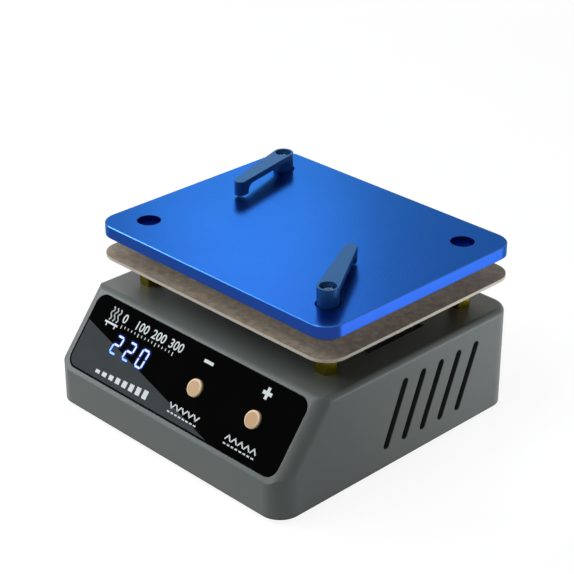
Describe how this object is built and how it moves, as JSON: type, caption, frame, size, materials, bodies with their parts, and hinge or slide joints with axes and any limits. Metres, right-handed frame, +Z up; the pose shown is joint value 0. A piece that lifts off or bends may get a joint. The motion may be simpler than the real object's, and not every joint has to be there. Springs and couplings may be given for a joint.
{
  "type": "circuit board preheater",
  "caption": "Small bench preheater for circuit boards: a blue heating plate on standoffs above a sloped grey housing, with a lit display, push-buttons and swinging clamp arms.",
  "frame": {"origin": "middle of the bounding box in plan, at the surface that the rubber feet stand on", "axes": "+Z up, the sloped control panel faces -Y, +X to the right of someone who faces the panel"},
  "size_m": [0.0808, 0.0826, 0.0497],
  "materials": {
    "housing": "fine satin",
    "cover": "fine satin",
    "panel": "glossy",
    "lens": "smoked, glossy",
    "lit_digits": "lit",
    "buttons": "satin",
    "rubber": "matte",
    "board_green": "satin",
    "black_plastic": "satin",
    "white_plastic": "satin",
    "green_plastic": "satin",
    "ribbon": "satin",
    "rocker": "satin",
    "ferrite": "matte",
    "tape": "glossy",
    "capacitor_sleeve": "glossy",
    "glass": "clear",
    "lead_sleeve": "satin",
    "glass_sleeve": "woven",
    "insulation": "matte",
    "heater_ceramic": "matte",
    "blue_plate": "anodised satin",
    "blue_arm": "anodised satin",
    "bare_aluminium": "mill finish",
    "brass": "turned",
    "nickel": "bright",
    "steel": "zinc plated",
    "spring_steel": "bright wire"
  },
  "bodies": {
    "base": {"rubber_feet": "rubber", "bottom_cover": "cover", "cover_screws": "steel", "housing": "housing", "control_panel": "panel", "control_board": "board_green", "control_board_screws": "steel", "display_lens": "lens", "display_module": "black_plastic", "display_digits": "lit_digits", "driver_chip": "black_plastic", "tact_switches": "black_plastic", "ribbon_cable": "ribbon", "power_board": "board_green", "power_board_screws": "steel", "transformer_core": "ferrite", "transformer_winding": "tape", "capacitors": "capacitor_sleeve", "triac": "black_plastic", "heat_sink": "bare_aluminium", "fuse_tube": "glass", "fuse_clips": "brass", "terminal_block": "green_plastic", "sensor_connector": "white_plastic", "power_inlet": "black_plastic", "inlet_pins": "nickel", "switch_frame": "black_plastic", "switch_terminals": "brass", "mains_leads": "lead_sleeve", "standoffs": "brass", "standoff_screws": "steel", "insulation_board": "insulation", "spacers": "nickel", "heating_plate": "blue_plate", "heating_element": "heater_ceramic", "element_strap": "nickel", "underplate_screws": "steel", "heater_leads": "glass_sleeve", "temperature_sensor": "brass", "sensor_leads": "white_plastic", "grommets": "rubber", "clamp_screws": "nickel", "front_clamp_spring": "spring_steel", "rear_clamp_spring": "spring_steel"},
    "front_washer": {"front_clamp_washer": "nickel"},
    "front_arm": {"front_clamp_arm": "blue_arm"},
    "rear_washer": {"rear_clamp_washer": "nickel"},
    "rear_arm": {"rear_clamp_arm": "blue_arm"},
    "minus_key": {"button_minus": "buttons", "plunger_minus": "white_plastic"},
    "plus_key": {"button_plus": "buttons", "plunger_plus": "white_plastic"},
    "rocker": {"switch_rocker": "rocker"}
  },
  "joints": [
    {"name": "front_clamp_lift", "type": "slide", "parent": "base", "child": "front_washer", "axis": [0, 0, 1], "range_m": [0, 0.0012], "stiffness_N_per_m": 400, "springref_m": -0.003, "deforming": ["front_clamp_spring"]},
    {"name": "front_clamp_swing", "type": "hinge", "parent": "front_washer", "child": "front_arm", "pos_m": [0.031, -0.01698, 0.0451], "axis": [0, 0, 1], "continuous": true},
    {"name": "rear_clamp_lift", "type": "slide", "parent": "base", "child": "rear_washer", "axis": [0, 0, 1], "range_m": [0, 0.0012], "stiffness_N_per_m": 400, "springref_m": -0.003, "deforming": ["rear_clamp_spring"]},
    {"name": "rear_clamp_swing", "type": "hinge", "parent": "rear_washer", "child": "rear_arm", "pos_m": [-0.031, 0.02942, 0.0451], "axis": [0, 0, 1], "continuous": true},
    {"name": "minus_press", "type": "slide", "parent": "base", "child": "minus_key", "axis": [0, 0.788, -0.6157], "range_m": [0, 0.0003], "stiffness_N_per_m": 600, "springref_m": -0.0008},
    {"name": "plus_press", "type": "slide", "parent": "base", "child": "plus_key", "axis": [0, 0.788, -0.6157], "range_m": [0, 0.0003], "stiffness_N_per_m": 600, "springref_m": -0.0008},
    {"name": "rocker_tilt", "type": "hinge", "parent": "base", "child": "rocker", "pos_m": [0.018, 0.03812, 0.0146], "axis": [0, 0, 1], "range_deg": [-20, 0]}
  ]
}
